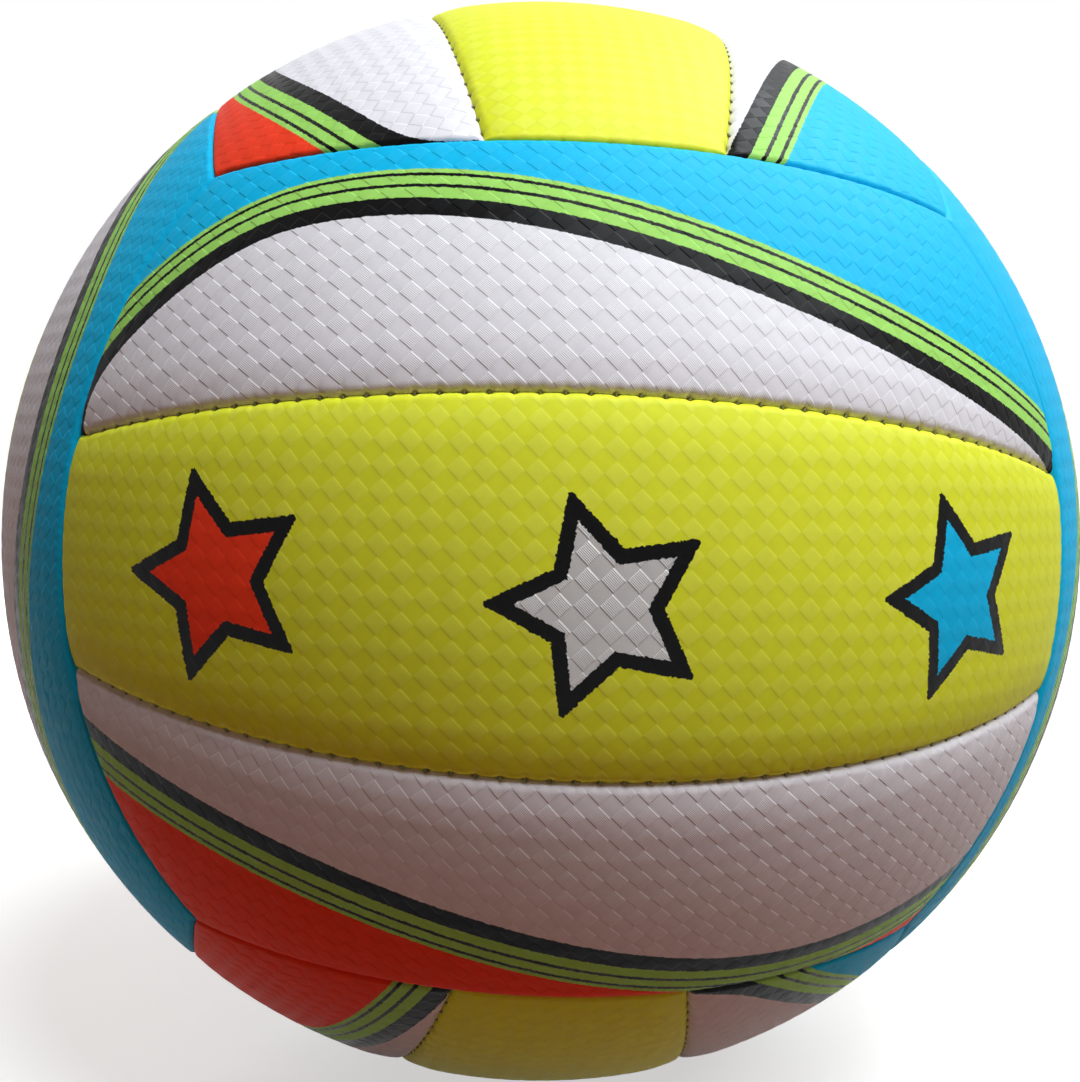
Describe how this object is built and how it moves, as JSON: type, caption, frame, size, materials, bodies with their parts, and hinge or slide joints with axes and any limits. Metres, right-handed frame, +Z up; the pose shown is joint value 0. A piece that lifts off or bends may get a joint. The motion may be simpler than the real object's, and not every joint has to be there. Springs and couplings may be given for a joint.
{
  "type": "volleyball",
  "caption": "Machine-sewn volleyball with a padded leather-look cover of curved strips in crossed groups, an inner bladder and a needle valve.",
  "frame": {"origin": "centre of the ball", "axes": "+Z up, the front strip group faces -Y with its strips along X, the valve is on +X"},
  "size_m": [0.2099, 0.21, 0.21],
  "materials": {
    "yellow_leather": "satin embossed",
    "blue_leather": "satin embossed",
    "red_leather": "satin embossed",
    "foam": "matte",
    "lining_cloth": "matte woven",
    "thread": "waxed",
    "bladder_rubber": "matte",
    "valve_rubber": "matte",
    "core_rubber": "satin"
  },
  "bodies": {
    "root": {"front_upper_panel": "blue_leather", "front_upper_foam": "foam", "front_upper_lining": "lining_cloth", "front_middle_panel": "yellow_leather", "front_middle_foam": "foam", "front_middle_lining": "lining_cloth", "front_lower_panel": "red_leather", "front_lower_foam": "foam", "front_lower_lining": "lining_cloth", "back_upper_panel": "blue_leather", "back_upper_foam": "foam", "back_upper_lining": "lining_cloth", "back_middle_panel": "yellow_leather", "back_middle_foam": "foam", "back_middle_lining": "lining_cloth", "back_lower_panel": "red_leather", "back_lower_foam": "foam", "back_lower_lining": "lining_cloth", "top_left_panel": "red_leather", "top_left_foam": "foam", "top_left_lining": "lining_cloth", "top_middle_panel": "yellow_leather", "top_middle_foam": "foam", "top_middle_lining": "lining_cloth", "top_right_panel": "blue_leather", "top_right_foam": "foam", "top_right_lining": "lining_cloth", "bottom_right_panel": "blue_leather", "bottom_right_foam": "foam", "bottom_right_lining": "lining_cloth", "bottom_middle_panel": "yellow_leather", "bottom_middle_foam": "foam", "bottom_middle_lining": "lining_cloth", "bottom_left_panel": "red_leather", "bottom_left_foam": "foam", "bottom_left_lining": "lining_cloth", "right_back_panel": "red_leather", "right_back_foam": "foam", "right_back_lining": "lining_cloth", "right_middle_panel": "yellow_leather", "right_middle_foam": "foam", "right_middle_lining": "lining_cloth", "right_front_panel": "blue_leather", "right_front_foam": "foam", "right_front_lining": "lining_cloth", "left_back_panel": "red_leather", "left_back_foam": "foam", "left_back_lining": "lining_cloth", "left_middle_panel": "yellow_leather", "left_middle_foam": "foam", "left_middle_lining": "lining_cloth", "left_front_panel": "blue_leather", "left_front_foam": "foam", "left_front_lining": "lining_cloth", "strip_seam_thread": "thread", "group_seam_thread": "thread", "bladder": "bladder_rubber", "valve_housing": "valve_rubber", "valve_core": "core_rubber"}
  },
  "joints": []
}
